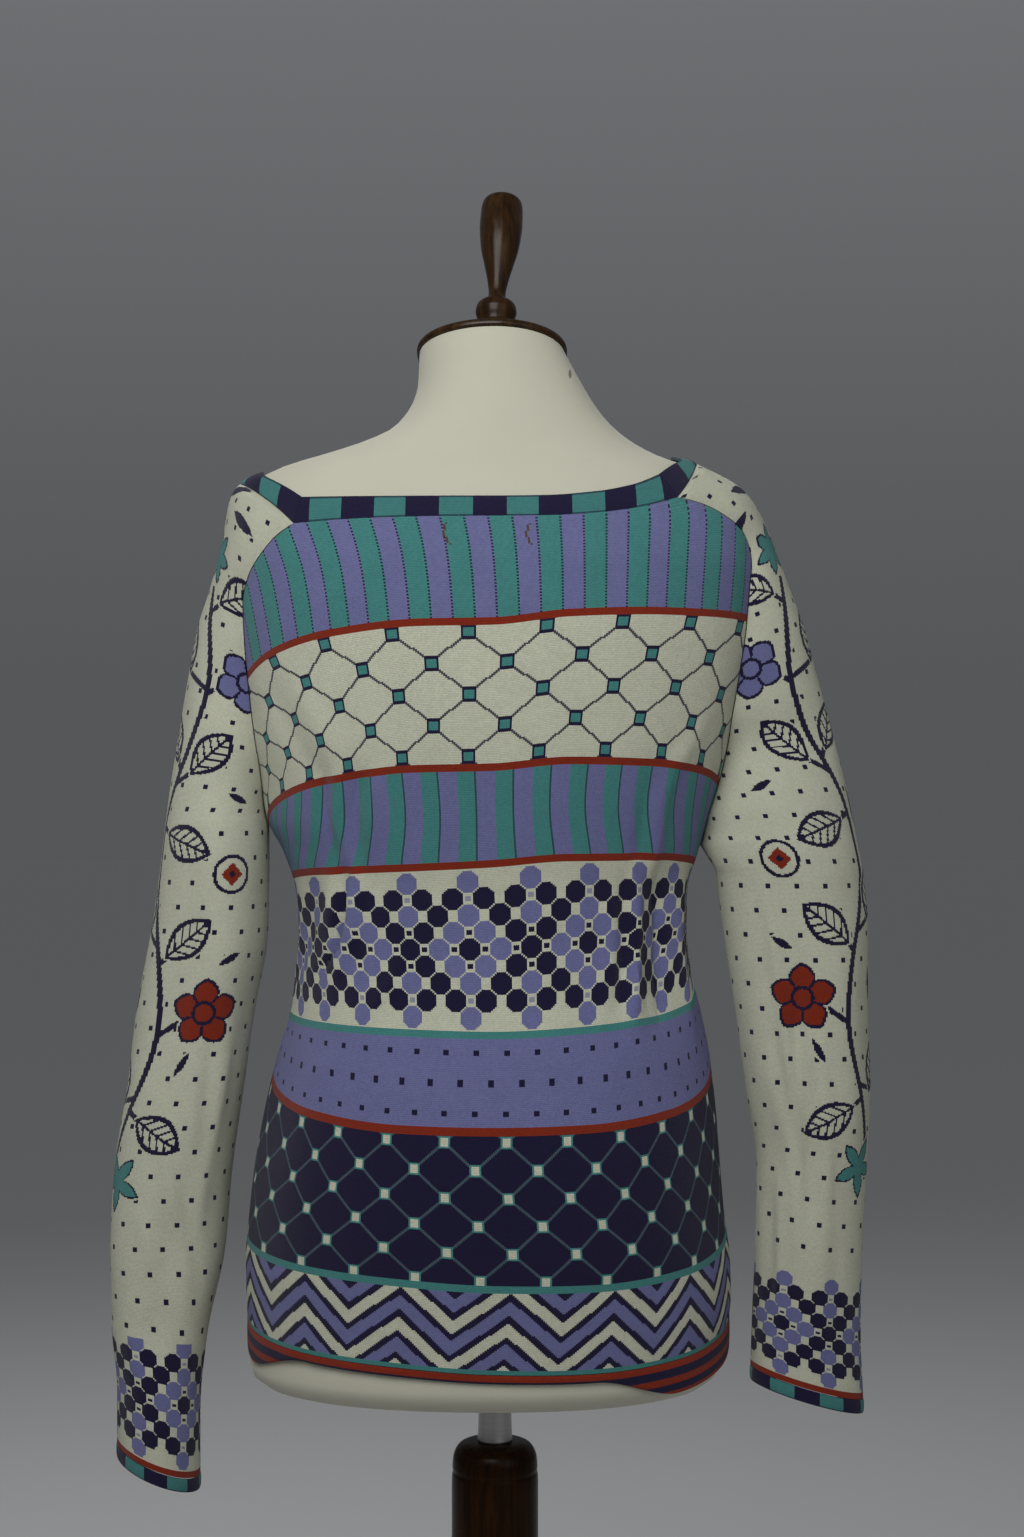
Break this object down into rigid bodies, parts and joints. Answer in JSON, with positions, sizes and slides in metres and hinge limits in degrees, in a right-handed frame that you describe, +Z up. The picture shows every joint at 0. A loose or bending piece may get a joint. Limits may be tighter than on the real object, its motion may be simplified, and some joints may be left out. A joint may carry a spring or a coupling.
{
  "type": "button cardigan worn by a limbless dress form on a turned wooden stand",
  "caption": "Long-sleeved patterned knit cardigan, buttoned at the front, worn by a limbless dress form on a turned post with a round base.",
  "frame": {"origin": "on the floor, at the centre of the stand's round base", "axes": "+Z up along the post; the wearer faces -Y, so the back of the cardigan faces +Y; +X is the wearer's left"},
  "size_m": [0.5622, 0.38, 1.6387],
  "materials": {
    "jersey": "fine jacquard jersey knit, cream with teal, lilac, navy and red patterns",
    "trim": "double-knit trim in teal and navy blocks",
    "rib": "knitted hem rib in red and navy stripes",
    "button": "glossy navy resin",
    "form_cloth": "close cream jersey stretched over the form",
    "dark_wood": "dark stained and glossy varnished turned wood",
    "steel": "plain satin steel"
  },
  "bodies": {
    "root": {"back_panel": "jersey", "front_left": "jersey", "front_right": "jersey", "sleeve_left": "jersey", "sleeve_right": "jersey", "neck_trim_back": "trim", "neck_trim_left": "trim", "neck_trim_right": "trim", "neck_trim_front_left": "trim", "neck_trim_front_right": "trim", "button_band": "trim", "buttonhole_band": "trim", "cuff_trim_left": "trim", "cuff_trim_right": "trim", "hem_rib_back": "rib", "hem_rib_front_left": "rib", "hem_rib_front_right": "rib", "button_1": "button", "button_2": "button", "button_3": "button", "button_4": "button", "button_5": "button", "button_6": "button", "button_7": "button", "form_torso": "form_cloth", "neck_cap": "dark_wood", "neck_knob": "dark_wood", "post": "dark_wood", "base": "dark_wood", "peg": "steel"}
  },
  "joints": []
}
